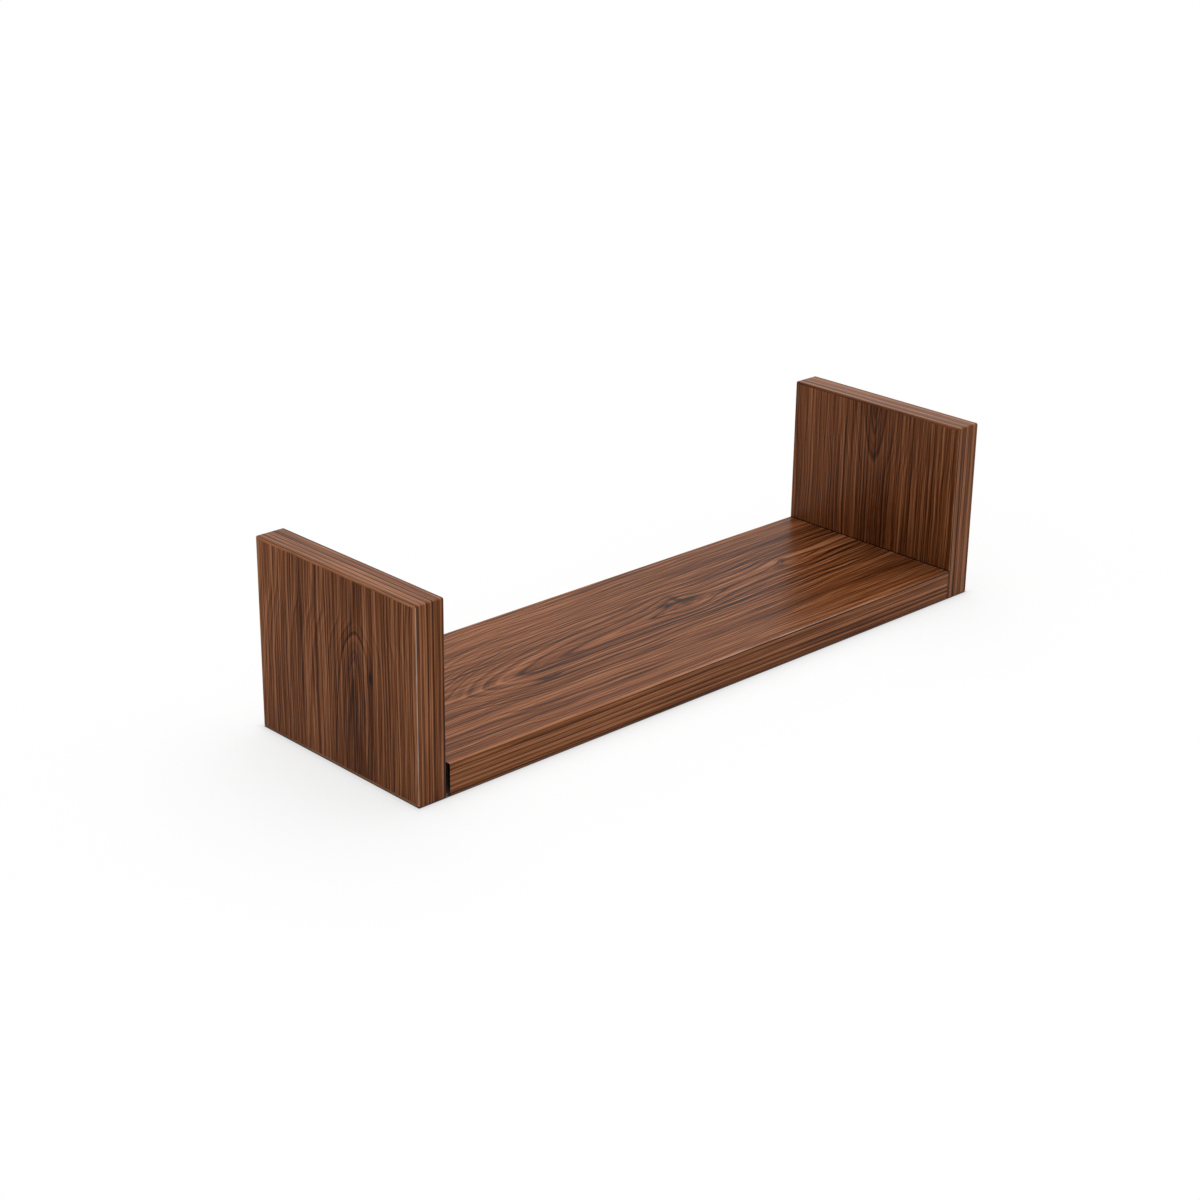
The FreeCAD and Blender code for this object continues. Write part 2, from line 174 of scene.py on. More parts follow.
# Face veneers
# Flat-sawn walnut veneer, 0.6 mm thick, glued to both faces of each board and lacquered satin.
# The saw cuts the growth rings at a slant, which draws the nested arches; knots push them aside.
WALNUT_TONES = (
    (0.00, (0.022, 0.0060, 0.0020)),
    (0.28, (0.085, 0.0220, 0.0050)),
    (0.52, (0.170, 0.0540, 0.0165)),
    (0.76, (0.245, 0.0850, 0.0300)),
    (1.00, (0.380, 0.1550, 0.0680)),
)
RING_PROFILE = ((0.0, 0.3), (0.12, 0.0), (0.55, 0.05), (0.8, 0.85), (0.92, 1.0), (1.0, 0.3))
SEASON_YEARS = 5.0
SEASON_SWING = 2.0
PITH_EASE_SHARE = 0.3
WAVER_SIZE = (150.0, 45.0)
RIPPLE_SIZE = (45.0, 10.0)
MOTTLE_SIZE = (9.0, 2.5)
MOTTLE_GAIN = 2.0
PORE_SIZE = (7.0, 0.5)
PORE_EDGE = (0.6, 0.7)
PORE_DARK = 0.12
FIBRE_SIZE = (40.0, 1.5)
FIBRE_RELIEF = 0.5
RELIEF_STRENGTH = 0.12
RELIEF_DEPTH = 0.0002
LACQUER_ROUGHNESS = 0.32
LACQUER_SWING = 0.2
# Painted highlight on the rounded arrises: how much it lifts the tone, and the turn of the surface over
# which it comes in.
ARRIS_LIFT = 0.15
ARRIS_TURN = (0.97, 0.8)
# Painted highlight patches on the arrises: their size, detail and edges, the least they show, and how
# squarely the arris must face.
GLINT_SIZE = (60.0, 30.0)
GLINT_DETAIL = 3.0
GLINT_EDGE = (0.38, 0.56)
GLINT_LEAST = 0.25
GLINT_FACING = (0.955, 0.995)
# Painted shade at the joints: how high it reaches up the panel, its fade, and how squarely a face must look
# inward.
JOINT_HEIGHT = 25.2
JOINT_FADE = 0.2
JOINT_FACING = (0.6, 0.9)

# The layers of the grain: the length and width of a streak, how strongly it shows, and whether it bends
# with the growth rings or runs straight.
GRAIN = (
    ((900.0, 5.0), 0.6, True),
    ((420.0, 2.0), 0.8, True),
    ((600.0, 4.0), 0.5, False),
    ((500.0, 1.7), 1.0, False),
    ((140.0, 0.8), 1.2, False),
    ((45.0, 1.0), 0.6, False),
    ((260.0, 40.0), 0.4, False),
)
GRAIN_DETAIL = 1.0

# What each pattern adds to the seed of its board; the layers of the grain count on from theirs.
RIPPLE_SEED, GRAIN_SEED, FIBRE_SEED, PORE_SEED, GLINT_SEED, MOTTLE_SEED = 1.0, 2.0, 7.0, 8.0, 9.0, 10.0

# A face's figure. Grain: how strongly the bent and the straight layers show. Heart and lean: where the pith
# lies across the face, and its slant. Pith: its least depth, and the rise, tip and run of its dive to the
# most. Point: 2 draws round arches, less draws pointed ones. Ring and line: a year's width, and how dark
# its line is. Bold: rings by their distance from the pith, width and darkness. Waver: how far the grain
# wavers and ripples. Vigour: the faintest and the strongest line. Knots and shades: place along and across
# the grain, length, width, how far they push the rings and how much they darken the wood.
SHELF_TOP = {
    "gloss": 0.06,
    "grain": (0.8, 1.35),
    "tone": 0.62,
    "heart": 1.0,
    "lean": 0.07,
    "pith": (2.0, 32.0, -190.0, -80.0, 38.0),
    "point": 1.35,
    "ring": 3.7,
    "line": 0.36,
    "bold": (
        (33.2, 1.2, 0.25),
        (26.6, 1.3, 0.32),
        (17.9, 1.3, 0.36),
        (11.0, 1.2, 0.36),
        (2.0, 1.0, 0.25),
        (-4.0, 1.0, 0.2),
    ),
    "waver": (10.0, 2.2),
    "vigour": (0.3, 1.0),
    "knots": (
        (58.0, 2.0, 34.0, 13.0, -9.5, 0.0),
        (58.0, 22.0, 20.0, 14.0, -6.0, 0.0),
        (44.0, 14.0, 8.0, 3.5, 0.0, 0.8),
        (59.0, 17.0, 3.5, 8.0, 0.0, 0.7),
        (68.0, 12.0, 9.0, 3.0, 0.0, 0.8),
        (178.0, 13.0, 7.0, 3.0, -3.0, 0.6),
        (189.0, 21.0, 6.0, 4.0, -4.0, 0.7),
        (188.0, 24.0, 30.0, 16.0, -5.0, 0.0),
        (-122.0, -27.0, 13.0, 3.0, -2.0, 0.5),
    ),
    "seed": 3.0,
}
SHELF_UNDERSIDE = {
    "gloss": 0.06,
    "grain": (1.0, 1.0),
    "tone": 0.6,
    "heart": 22.0,
    "lean": -0.05,
    "pith": (4.0, 18.0, 60.0, 120.0, 40.0),
    "point": 1.6,
    "ring": 3.6,
    "line": 0.34,
    "bold": ((9.0, 0.9, 0.25), (15.0, 1.0, 0.3), (22.0, 0.9, 0.2)),
    "waver": (14.0, 3.0),
    "vigour": (0.3, 1.0),
    "knots": (),
    "seed": 11.0,
}
LEFT_OUTER = {
    "gloss": 0.04,
    "grain": (0.8, 1.35),
    "tone": 0.65,
    "heart": -15.0,
    "lean": -0.08,
    "pith": (6.5, 13.5, 109.0, 22.0, 24.0),
    "point": 1.5,
    "ring": 5.0,
    "line": 0.3,
    "bold": ((20.5, 0.9, 0.45), (12.5, 0.7, 0.25), (9.0, 0.6, 0.2)),
    "waver": (6.0, 2.0),
    "vigour": (0.3, 1.0),
    "knots": (
        (80.0, -38.5, 5.0, 1.8, 3.0, 0.5),
        (25.0, -32.0, 50.0, 24.0, 0.0, 0.14),
        (75.0, 77.5, 300.0, 1.2, 0.0, 0.25),
        (75.0, 41.7, 300.0, 1.0, 0.0, 0.25),
        (75.0, 20.8, 300.0, 1.2, 0.0, 0.25),
        (75.0, 27.0, 300.0, 4.0, 0.0, -0.14),
    ),
    "seed": 23.0,
}
RIGHT_INNER = {
    "gloss": 0.085,
    "grain": (0.7, 1.2),
    "tone": 0.6,
    "heart": -1.0,
    "lean": 0.0,
    "pith": (0.0, 14.0, 103.0, -45.0, 17.0),
    "point": 1.5,
    "ring": 4.0,
    "line": 0.3,
    "bold": ((13.6, 0.6, 0.28), (8.4, 0.5, 0.28)),
    "waver": (6.0, 2.0),
    "vigour": (0.3, 1.0),
    "knots": (
        (75.0, -4.0, 400.0, 15.0, 0.0, 0.12),
        # The next two rows darken the lower part of the face, where it meets the shelf: painted shade of
        # the corner.
        (35.0, -8.0, 40.0, 30.0, 0.0, 0.1),
        (15.0, 0.0, 50.0, 400.0, 0.0, 0.06),
        (75.0, -17.6, 400.0, 1.2, 0.0, 0.15),
        (75.0, 19.0, 300.0, 3.0, 0.0, -0.12),
        (75.0, 67.0, 300.0, 5.0, 0.0, -0.08),
        (120.0, -33.0, 60.0, 4.0, 0.0, -0.1),
    ),
    "seed": 31.0,
}
LEFT_INNER = {**RIGHT_INNER, "heart": 26.0, "knots": (), "seed": 37.0}
RIGHT_OUTER = {**LEFT_OUTER, "heart": 18.0, "knots": (), "seed": 43.0}


def ramp(tree, share, stops):
    """A run of colours or greys along a share from 0 to 1."""
    item = add(tree, "ValToRGB", {"Fac": share})
    band = item.color_ramp
    band.elements[0].position, band.elements[1].position = stops[0][0], stops[-1][0]
    for position, _ in stops[1:-1]:
        band.elements.new(position)
    for element, (_, tone) in zip(band.elements, stops):
        element.color = (*tone, 1.0) if isinstance(tone, tuple) else (tone, tone, tone, 1.0)
    return item.outputs["Color"]


def swing(tree, noise, reach):
    """Noise centred on nothing: most of it lies within a quarter of its reach each way."""
    return maths(tree, "MULTIPLY", maths(tree, "SUBTRACT", noise, 0.5), reach)


def squared(tree, term):
    """A term times itself."""
    return maths(tree, "MULTIPLY", term, term)


def mound(tree, along, across, at, off, length, width):
    """A smooth oval mound, one at its middle."""
    ends = maths(tree, "DIVIDE", maths(tree, "SUBTRACT", along, at), length)
    sides = maths(tree, "DIVIDE", maths(tree, "SUBTRACT", across, off), width)
    far = maths(tree, "ADD", squared(tree, ends), squared(tree, sides))
    return maths(tree, "EXPONENT", maths(tree, "MULTIPLY", far, -1.0))


def ridge(tree, along, at, length):
    """A smooth ridge, one where it lies along the grain."""
    return mound(tree, along, 0.0, at, 0.0, length, 1.0)


def growth_rings(tree, along, across, figure):
    """How far each point lies from the pith, which slants under the face, and how far knots darken it."""
    heart = maths(tree, "MULTIPLY_ADD", along, figure["lean"], figure["heart"])
    off_heart = maths(tree, "SUBTRACT", across, heart)
    least, rise, tip, run, most = figure["pith"]
    climb = maths(tree, "EXPONENT", maths(tree, "DIVIDE", maths(tree, "SUBTRACT", along, tip), run))
    dive = maths(tree, "MULTIPLY_ADD", climb, rise, least)
    depth = maths(tree, "SMOOTH_MIN", dive, most, PITH_EASE_SHARE * most)
    point = figure["point"]
    sides = [maths(tree, "POWER", maths(tree, "ABSOLUTE", term), point) for term in (off_heart, depth)]
    radius = maths(tree, "POWER", maths(tree, "ADD", *sides), 1.0 / point)
    shade = 0.0
    for *oval, push, dark in figure["knots"]:
        over = mound(tree, along, across, *oval)
        radius = maths(tree, "MULTIPLY_ADD", over, push, radius)
        shade = maths(tree, "MULTIPLY_ADD", over, dark, shade)
    return radius, shade


def late_wood(tree, radius, figure):
    """How much the line that ends each year's growth darkens the wood: most lightly, a few boldly."""
    spaced = {"W": maths(tree, "DIVIDE", radius, SEASON_YEARS * figure["ring"]), "Scale": 1.0}
    season = add(tree, "TexNoise", spaced, noise_dimensions="1D").outputs["Fac"]
    even_years = maths(tree, "DIVIDE", radius, figure["ring"])
    years = maths(tree, "ADD", even_years, swing(tree, season, SEASON_SWING))
    year = maths(tree, "ADD", maths(tree, "FLOOR", years), figure["seed"])
    vigour = add(tree, "TexWhiteNoise", {"W": year}, noise_dimensions="1D").outputs["Value"]
    least, most = figure["vigour"]
    strength = maths(tree, "MULTIPLY_ADD", squared(tree, vigour), most - least, least)
    lines = maths(tree, "MULTIPLY", ramp(tree, maths(tree, "FRACT", years), RING_PROFILE), strength)
    dark = maths(tree, "MULTIPLY", lines, figure["line"])
    for ring, width, depth in figure["bold"]:
        dark = maths(tree, "MULTIPLY_ADD", ridge(tree, radius, ring, width), depth, dark)
    return dark


def arris(tree):
    """One on the rounded arrises, nothing on the flat faces."""
    normal = add(tree, "TexCoord").outputs["Normal"]
    turn = add(tree, "VectorMath", {0: normal}, operation="ABSOLUTE").outputs[0]
    parts = add(tree, "SeparateXYZ", {0: turn}).outputs
    flat = maths(tree, "MAXIMUM", maths(tree, "MAXIMUM", parts[0], parts[1]), parts[2])
    return graded(tree, flat, *ARRIS_TURN)


def painted_arris_glint(tree, colour, along, straight, seed, arris_glint):
    """Painted highlight: pale patches on one stretch of the arris that faces a way, as if it caught the
    light.
    """
    way, pale, (middle, reach) = arris_glint
    noise = streaks(tree, along, straight, GLINT_SIZE, seed + GLINT_SEED, detail=GLINT_DETAIL)
    patches = graded(tree, noise, *GLINT_EDGE, least=GLINT_LEAST)
    glinting = maths(tree, "MULTIPLY", patches, ridge(tree, along, middle, reach))
    return blended(tree, maths(tree, "MULTIPLY", glinting, facing(tree, way, *GLINT_FACING)), colour, pale)


def painted_joint_shade(tree, colour, height, inward):
    """Painted shade: black on a panel low down where the shelf butts against it, so the joint reads dark.
    """
    low = graded(tree, height, JOINT_HEIGHT, JOINT_HEIGHT + JOINT_FADE, least=1.0, most=0.0)
    share = maths(tree, "MULTIPLY", low, facing(tree, inward, *JOINT_FACING))
    return blended(tree, share, colour, GAP_SHADE_BLACK)


def walnut(name, along_way, across_way, figure, ends=False, inward=None, arris_glint=None):
    """Lacquered walnut: streaks that follow the growth rings, late-wood lines, knots and pores."""
    material, tree, shader = new_finish(name, Specular_IOR_Level=figure["gloss"])
    seed = figure["seed"]
    place = place_in_mm(tree)
    along = measured(tree, place, along_way)
    straight = measured(tree, place, across_way)
    waver_reach, ripple_reach = figure["waver"]
    waver = swing(tree, streaks(tree, along, straight, WAVER_SIZE, seed), waver_reach)
    ripple = swing(tree, streaks(tree, along, straight, RIPPLE_SIZE, seed + RIPPLE_SEED), ripple_reach)
    across = maths(tree, "ADD", straight, maths(tree, "ADD", waver, ripple))
    radius, shade = growth_rings(tree, along, across, figure)

    tone = figure["tone"]
    bent_gain, straight_gain = figure["grain"]
    for step, (size, gain, bends) in enumerate(GRAIN):
        over, face_gain = (radius, bent_gain) if bends else (across, straight_gain)
        lines = streaks(tree, along, over, size, seed + GRAIN_SEED + step, detail=GRAIN_DETAIL)
        tone = maths(tree, "ADD", tone, swing(tree, lines, gain * face_gain))
    tone = maths(tree, "SUBTRACT", tone, late_wood(tree, radius, figure))
    if figure["knots"]:
        mottle = streaks(tree, along, across, MOTTLE_SIZE, seed + MOTTLE_SEED)
        mottled = maths(tree, "MULTIPLY", shade, maths(tree, "MULTIPLY", mottle, MOTTLE_GAIN))
        tone = maths(tree, "SUBTRACT", tone, mottled)
    pores = graded(tree, streaks(tree, along, straight, PORE_SIZE, seed + PORE_SEED), *PORE_EDGE)
    tone = maths(tree, "MULTIPLY_ADD", pores, -PORE_DARK, tone)
    # Painted highlight: the rounded arrises are made paler.
    if arris_glint:
        tone = maths(tree, "MULTIPLY_ADD", arris(tree), ARRIS_LIFT, tone)
    colour = ramp(tree, tone, WALNUT_TONES)
    # Painted highlight: pale patches on one stretch of arris.
    if arris_glint:
        colour = painted_arris_glint(tree, colour, along, straight, seed, arris_glint)
    # Painted shade: black on the sawn ends.
    if ends:
        colour = painted_end_shade(tree, colour)
    # Painted shade: black low on the faces that look into the joint.
    if inward:
        colour = painted_joint_shade(tree, colour, measured(tree, place, ALONG_Z), inward)
    tree.links.new(colour, shader.inputs["Base Color"])

    fibre = streaks(tree, along, straight, FIBRE_SIZE, seed + FIBRE_SEED)
    sheen = maths(tree, "ADD", LACQUER_ROUGHNESS, swing(tree, fibre, LACQUER_SWING))
    tree.links.new(sheen, shader.inputs["Roughness"])
    relief = maths(tree, "MULTIPLY_ADD", pores, -1.0, maths(tree, "MULTIPLY", fibre, FIBRE_RELIEF))
    roughen(tree, shader, relief, RELIEF_STRENGTH, RELIEF_DEPTH)
    return material


dress(walnut("shelf_top_walnut", ALONG_X, ALONG_Y, SHELF_TOP), "shelf_top_veneer")
dress(walnut("shelf_underside_walnut", ALONG_X, ALONG_Y, SHELF_UNDERSIDE), "shelf_bottom_veneer")
dress(walnut("left_outer_walnut", ALONG_Z, ALONG_Y, LEFT_OUTER), "left_outer_veneer")
dress(walnut("left_inner_walnut", ALONG_Z, ALONG_Y, LEFT_INNER, inward=TO_RIGHT), "left_inner_veneer")
dress(walnut("right_outer_walnut", ALONG_Z, ALONG_Y, RIGHT_OUTER), "right_outer_veneer")
dress(walnut("right_inner_walnut", ALONG_Z, ALONG_Y, RIGHT_INNER, inward=TO_LEFT), "right_inner_veneer")

# Edge bands
# Solid walnut strips, 2 mm thick and sawn on the quarter, glued round the edges of the boards.
# Their stripes run straight, and turn the corner from a panel's top edge to its front edge.
# Some arrises are painted paler in lines and patches: painted highlights where the rounded edges catch the
# light.
STRIPES = {
    "gloss": 0.08,
    "grain": (0.6, 1.2),
    "lean": 0.0,
    "pith": (60.0, 0.0, 0.0, 1000.0, 200.0),
    "point": 2.0,
    "bold": (),
    "waver": (1.2, 0.8),
}
# A panel's bands are painted paler towards its faces, a painted highlight along those arrises: where these
# stand, and the size and lift of the pale strip.
PANEL_FACES = (-300.0, -275.0, 275.0, 300.0)
PALE_LENGTH, PALE_WIDTH, PALE_LIFT = 9000.0, 0.8, 0.2
PANEL_STRIPES = {
    **STRIPES,
    "tone": 0.77,
    "heart": 150.0,
    "ring": 4.0,
    "line": 0.62,
    "vigour": (0.75, 1.0),
    "knots": tuple((0.0, face, PALE_LENGTH, PALE_WIDTH, 0.0, -PALE_LIFT) for face in PANEL_FACES),
}
SHELF_STRIPES = {
    **STRIPES,
    "tone": 0.84,
    "heart": 120.0,
    "ring": 3.8,
    "line": 0.75,
    "vigour": (0.7, 1.0),
    "knots": (),
    "seed": 67.0,
}
ROUND_THE_CORNER = (0, -1, 1)
DIAGONAL = math.sqrt(0.5)
PANEL_ARRIS = (-DIAGONAL, -DIAGONAL, 0.0)
SHELF_ARRIS = (0.0, -DIAGONAL, DIAGONAL)
# A stretch of painted highlight: its middle and its reach along the grain.
PANEL_STRETCH = (165.0, 140.0)
SHELF_STRETCH = (60.0, 130.0)
GLINT_GREY = (0.50, 0.42, 0.38, 1.0)
GLINT_BROWN = (0.36, 0.20, 0.12, 1.0)
GLINT_PINK = (0.55, 0.40, 0.33, 1.0)
PANELS = (("left", 51.0, TO_RIGHT, GLINT_GREY), ("right", 77.0, TO_LEFT, GLINT_BROWN))
for side, seed, inward, pale in PANELS:
    figure = {**PANEL_STRIPES, "seed": seed}
    arris_glint = (PANEL_ARRIS, pale, PANEL_STRETCH)
    stripes = walnut(f"{side}_band_walnut", ROUND_THE_CORNER, ALONG_X, figure, inward=inward, arris_glint=arris_glint)
    dress(stripes, *(f"{side}_{edge}_band" for edge in ("front", "back", "top", "bottom")))
arris_glint = (SHELF_ARRIS, GLINT_PINK, SHELF_STRETCH)
shelf_stripes = walnut("shelf_band_walnut", ALONG_X, ALONG_Z, SHELF_STRIPES, ends=True, arris_glint=arris_glint)
dress(shelf_stripes, "shelf_front_band", "shelf_back_band")

# Dowels
# Beech pegs with pressed flutes that let the glue out, two to a joint, to keep it from twisting.
# Their ends are chamfered, and they stand partly in the panel and partly in the shelf.
DOWEL_RADIUS = 0.004
DOWEL_LENGTH = 0.030
DOWEL_CHAMFER = 0.001
DOWEL_IN_PANEL = 0.012
DOWEL_DEPTHS = (-0.021, 0.021)
FLUTES = 20
POINTS_PER_FLUTE = 4
FLUTE_SHARE = 0.925
END_SHARE = 1.0 - DOWEL_CHAMFER / DOWEL_RADIUS
FITTING_LEVEL = 0.0125
MERGE_DISTANCE = 1e-6
SMOOTH_ANGLE = math.radians(35.0)
BEECH_PALE = (0.60, 0.41, 0.25, 1.0)
BEECH_DARK = (0.46, 0.28, 0.15, 1.0)
BEECH_ROUGHNESS = 0.65
RAY_SIZE = (6.0, 0.5)
RAY_DETAIL = 3.0
RAY_STRENGTH = 0.2
RAY_DEPTH = 0.0002

# Each joint: where the panel's inner face stands, and which way the shelf lies from it.
ENDS = {"left": (-0.275, 1.0), "right": (0.275, -1.0)}


def beech():
    """Pale beech with short dark rays along the peg."""
    material, tree, shader = new_finish("beech_peg", Roughness=BEECH_ROUGHNESS)
    place = place_in_mm(tree)
    across, along, up = (measured(tree, place, way) for way in (ALONG_Y, ALONG_X, ALONG_Z))
    rays = streaks(tree, along, maths(tree, "ADD", across, up), RAY_SIZE, up, detail=RAY_DETAIL)
    tree.links.new(blended(tree, rays, BEECH_DARK, BEECH_PALE), shader.inputs["Base Color"])
    roughen(tree, shader, rays, RAY_STRENGTH, RAY_DEPTH)
    return material


def fluted_peg(mesh, start, way):
    """One peg from its end in the panel: a circle, pressed in at each flute, drawn out in three steps."""
    points = POINTS_PER_FLUTE * FLUTES
    ring = bmesh.ops.create_circle(mesh, cap_ends=True, segments=points, radius=DOWEL_RADIUS)["verts"]
    bmesh.ops.scale(mesh, verts=ring[::POINTS_PER_FLUTE], vec=(FLUTE_SHARE, FLUTE_SHARE, 1.0))
    bmesh.ops.scale(mesh, verts=ring, vec=(END_SHARE, END_SHARE, 1.0))
    peg = list(ring)
    end = ring[0].link_faces[0]
    body = DOWEL_LENGTH - 2.0 * DOWEL_CHAMFER
    for rise, share in ((DOWEL_CHAMFER, 1.0 / END_SHARE), (body, 1.0), (DOWEL_CHAMFER, END_SHARE)):
        drawn = bmesh.ops.extrude_face_region(mesh, geom=[end, *end.edges])["geom"]
        ring = [item for item in drawn if isinstance(item, bmesh.types.BMVert)]
        end = next(item for item in drawn if isinstance(item, bmesh.types.BMFace))
        bmesh.ops.scale(mesh, verts=ring, vec=(share, share, 1.0))
        bmesh.ops.translate(mesh, verts=ring, vec=(0.0, 0.0, rise))
        peg += ring
    lie_down = Matrix.Translation(start) @ Matrix.Rotation(way * math.pi / 2.0, 4, "Y")
    bmesh.ops.transform(mesh, verts=peg, matrix=lie_down)


def fitting(name, mesh, material, node):
    """A new piece of the shelf from its mesh, in place of a plain CAD piece."""
    bmesh.ops.remove_doubles(mesh, verts=mesh.verts, dist=MERGE_DISTANCE)
    bmesh.ops.recalc_face_normals(mesh, faces=mesh.faces)
    data = bpy.data.meshes.new(name)
    mesh.to_mesh(data)
    mesh.free()
    data.shade_smooth()
    data.set_sharp_from_angle(angle=SMOOTH_ANGLE)
    data.materials.append(material)
    piece = bpy.data.objects.new(name, data)
    bpy.context.scene.collection.objects.link(piece)
    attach(piece, "shelf")
    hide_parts(node)


peg_beech = beech()
for side, (face, way) in ENDS.items():
    pegs = bmesh.new()
    for depth in DOWEL_DEPTHS:
        fluted_peg(pegs, Vector((face - way * DOWEL_IN_PANEL, depth, FITTING_LEVEL)), way)
    fitting(f"{side}_fluted_dowels", pegs, peg_beech, f"{side}_dowels")

# Cam bolts
# Turned steel bolts with a rolled thread, screwed into the panels, two to a joint.
# A collar sets the joint's gap, and the cam lock draws the ball end in by its neck.
BOLT_DEPTHS = (-0.053, 0.053)
THREAD_LENGTH = 0.011
THREAD_PITCH = 0.001375
THREAD_CREST, THREAD_ROOT = 0.0025, 0.0019
CREST_SHARES = (0.45, 0.55)
COLLAR_RADIUS, COLLAR_CHAMFER = 0.0055, 0.0002
JOINT_GAPS = {"left": 0.003, "right": 0.001}
SHANK_RADIUS, SHANK_END, SHANK_CHAMFER = 0.003, 0.0259, 0.0004
NECK_RADIUS = 0.002
BALL_RADIUS, BALL_MIDDLE = 0.0032, 0.034
BALL_STEPS = 10
TURNED_STEPS = 40
BOLT_BRIGHT = (0.60, 0.60, 0.61, 1.0)
BOLT_DULL = (0.38, 0.38, 0.39, 1.0)
BOLT_ROUGHNESS = 0.3
TURNING_SIZE = (6.0, 0.3)
MARK_SEED = 5.0
MARK_DETAIL = 4.0
MARK_ROUGHNESS = 0.6
POLISH_SWING = 0.5
SCRATCH_STRENGTH = 0.15
SCRATCH_DEPTH = 0.0001


def worked_metal(name, bright, dull, roughness, way, cross, size):
    """Bare or plated metal with the fine marks of how it was made, drawn out along one way."""
    material, tree, shader = new_finish(name, Metallic=1.0)
    place = place_in_mm(tree)
    along, across = measured(tree, place, way), measured(tree, place, cross)
    marks = streaks(tree, along, across, size, MARK_SEED, detail=MARK_DETAIL, roughness=MARK_ROUGHNESS)
    tree.links.new(blended(tree, marks, dull, bright), shader.inputs["Base Color"])
    dulled = maths(tree, "ADD", roughness, swing(tree, marks, POLISH_SWING))
    tree.links.new(dulled, shader.inputs["Roughness"])
    roughen(tree, shader, marks, SCRATCH_STRENGTH, SCRATCH_DEPTH)
    return material


def bolt_outline(gap):
    """The bolt's half outline from the tip of its thread to the crown of its ball: (along, out) points."""
    points = [(-THREAD_LENGTH, 0.0), (-THREAD_LENGTH, THREAD_ROOT)]
    for turn in range(round(THREAD_LENGTH / THREAD_PITCH)):
        foot = THREAD_PITCH * turn - THREAD_LENGTH
        points += [(foot + share * THREAD_PITCH, THREAD_CREST) for share in CREST_SHARES]
        points.append((foot + THREAD_PITCH, THREAD_ROOT))
    points += [(0.0, COLLAR_RADIUS - COLLAR_CHAMFER), (COLLAR_CHAMFER, COLLAR_RADIUS)]
    points += [(gap - COLLAR_CHAMFER, COLLAR_RADIUS), (gap, COLLAR_RADIUS - COLLAR_CHAMFER)]
    points += [(gap, SHANK_RADIUS), (SHANK_END - SHANK_CHAMFER, SHANK_RADIUS)]
    points += [(SHANK_END, SHANK_RADIUS - SHANK_CHAMFER), (SHANK_END, NECK_RADIUS)]
    first = math.pi - math.asin(NECK_RADIUS / BALL_RADIUS)
    for step in range(BALL_STEPS + 1):
        angle = first * (1.0 - step / BALL_STEPS)
        points.append((BALL_MIDDLE + BALL_RADIUS * math.cos(angle), BALL_RADIUS * math.sin(angle)))
    return points


def turned_bolt(mesh, start, way, gap):
    """One bolt, turned from its half outline."""
    line = [mesh.verts.new(start + Vector((way * along, out, 0.0))) for along, out in bolt_outline(gap)]
    edges = [mesh.edges.new(pair) for pair in zip(line, line[1:])]
    bmesh.ops.spin(
        mesh,
        geom=line + edges,
        cent=start,
        axis=ALONG_X,
        dvec=(0.0, 0.0, 0.0),
        angle=math.tau,
        steps=TURNED_STEPS,
        use_merge=True,
        use_duplicate=False,
    )


bolt_steel = worked_metal(
    "bolt_steel", BOLT_BRIGHT, BOLT_DULL, BOLT_ROUGHNESS, ALONG_Y, ALONG_X, TURNING_SIZE
)
for side, (face, way) in ENDS.items():
    bolts = bmesh.new()
    for depth in BOLT_DEPTHS:
        turned_bolt(bolts, Vector((face, depth, FITTING_LEVEL)), way, JOINT_GAPS[side])
    fitting(f"{side}_threaded_bolts", bolts, bolt_steel, f"{side}_cam_bolts")

# Cam locks
# Die-cast zinc discs with a cross for the screwdriver, dropped into bores that open under the shelf.
# Each grips the neck of a bolt in its slot, and half a turn pulls the joint tight.
ZINC_BRIGHT = (0.58, 0.58, 0.59, 1.0)
ZINC_DULL = (0.34, 0.34, 0.355, 1.0)
ZINC_ROUGHNESS = 0.42
CASTING_SIZE = (1.6, 1.2)
cast_zinc = worked_metal(
    "cast_zinc", ZINC_BRIGHT, ZINC_DULL, ZINC_ROUGHNESS, ALONG_X, ALONG_Y, CASTING_SIZE
)
dress(cast_zinc, *(f"{side}_{end}_cam" for side in ("left", "right") for end in ("front", "back")))

# Hanger plates
# Keyhole plates stamped from zinc-plated steel sheet, one let into each panel's back edge.
# The head of a wall screw goes in at the wide end, and the shelf drops until its neck sits in the slot.
PLATE_BRIGHT = (0.52, 0.51, 0.49, 1.0)
PLATE_DULL = (0.30, 0.295, 0.285, 1.0)
PLATE_ROUGHNESS = 0.32
ROLLING_SIZE = (20.0, 0.35)
hanger_steel = worked_metal(
    "hanger_steel", PLATE_BRIGHT, PLATE_DULL, PLATE_ROUGHNESS, ALONG_Z, ALONG_X, ROLLING_SIZE
)
dress(hanger_steel, "left_hanger_plate", "right_hanger_plate")

# Hanger screws
# Countersunk cross-head screws of steel with a yellow passivated coat, two to a plate.
# They hold the plate to the panel, and their heads sit flush in it.
SCREW_BRIGHT = (0.56, 0.48, 0.32, 1.0)
SCREW_DULL = (0.34, 0.27, 0.15, 1.0)
SCREW_ROUGHNESS = 0.3
COAT_SIZE = (2.0, 0.5)
screw_steel = worked_metal(
    "screw_steel", SCREW_BRIGHT, SCREW_DULL, SCREW_ROUGHNESS, ALONG_X, ALONG_Z, COAT_SIZE
)
dress(screw_steel, "left_hanger_screws", "right_hanger_screws")

